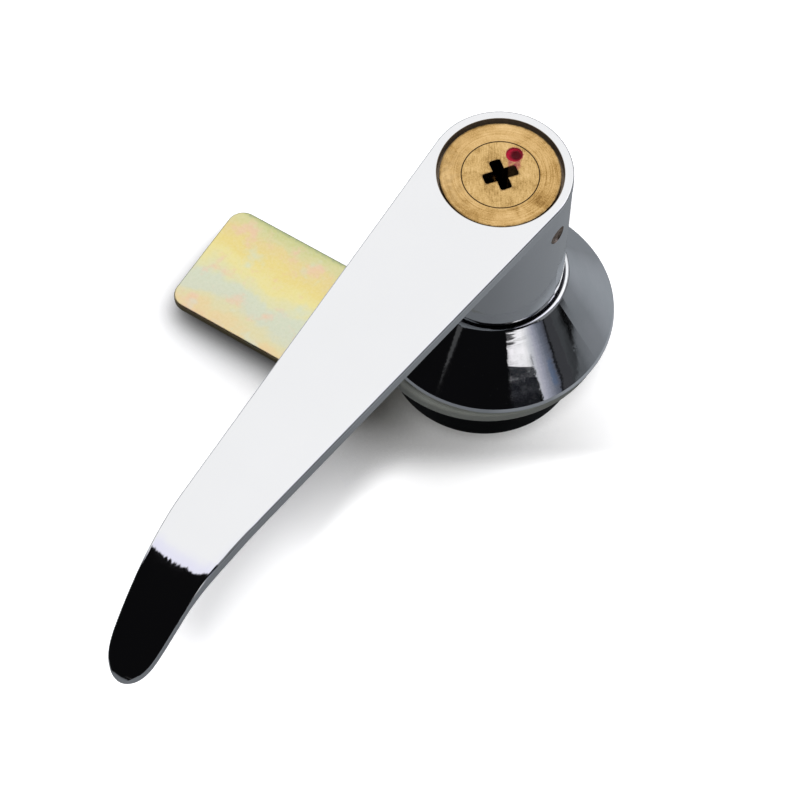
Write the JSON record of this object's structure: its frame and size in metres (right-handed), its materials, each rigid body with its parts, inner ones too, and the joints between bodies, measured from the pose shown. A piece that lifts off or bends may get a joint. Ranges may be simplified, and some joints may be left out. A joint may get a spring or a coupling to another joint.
{
  "type": "panel lock",
  "caption": "Lever-handle panel lock with a cross-key brass cylinder, conical chromed housing, clamping neck and a cranked cam turning a quarter turn.",
  "frame": {"origin": "on the spindle axis, in the plane where the panel's front face meets the gasket", "axes": "+Z out of the panel along the spindle towards the user; the lever points along -Y and the cam along -X at rest"},
  "size_m": [0.094, 0.1376, 0.0918],
  "materials": {
    "chrome_cast": "bright chrome plate on a zinc casting",
    "brass": "brushed bare brass",
    "red_paint": "glossy red paint fill",
    "pin_brass": "turned",
    "spring_steel": "bright drawn wire",
    "pin_steel": "darkened, slightly rusted end",
    "plain_steel": "ground",
    "black_rubber": "satin",
    "grey_rubber": "matt grey-green",
    "white_nylon": "matt",
    "black_enamel": "gloss black enamel",
    "yellow_zinc": "iridescent yellow zinc passivate"
  },
  "bodies": {
    "mounting": {"housing": "chrome_cast", "thrust_washer": "white_nylon", "panel_gasket": "grey_rubber", "clamp_collar": "black_enamel", "lock_washer": "yellow_zinc", "panel_nut": "yellow_zinc"},
    "handle": {"handle": "chrome_cast", "cylinder_body": "brass", "driver_pins": "pin_brass", "pin_springs": "spring_steel", "chamber_caps": "brass", "cylinder_pin": "pin_steel", "o_ring": "black_rubber", "detent_spring": "spring_steel", "stop_plate": "yellow_zinc", "cam": "yellow_zinc", "cam_washer": "yellow_zinc", "spring_washer": "yellow_zinc", "cam_screw": "yellow_zinc"},
    "plug": {"key_plug": "brass", "marker_dot": "red_paint", "key_pins": "pin_brass", "plug_clip": "spring_steel", "tailpiece": "plain_steel"},
    "bolt": {"lock_bolt": "plain_steel"},
    "detent": {"detent_ball": "plain_steel"}
  },
  "joints": [
    {"name": "handle_turn", "type": "hinge", "parent": "mounting", "child": "handle", "pos_m": [0, 0, 0], "axis": [0, 0, 1], "range_deg": [0, 90]},
    {"name": "key_turn", "type": "hinge", "parent": "handle", "child": "plug", "pos_m": [0, 0, 0], "axis": [0, 0, -1], "range_deg": [0, 90]},
    {"name": "bolt_slide", "type": "slide", "parent": "handle", "child": "bolt", "axis": [0, 1, 0], "range_m": [0, 0.00301]},
    {"name": "detent_slide", "type": "slide", "parent": "handle", "child": "detent", "axis": [0, -1, 0], "range_m": [0, 0.0006]}
  ],
  "couplings": [
    {"joint": "bolt_slide", "follows": "key_turn", "m_per_rad": 0.0019099}
  ]
}
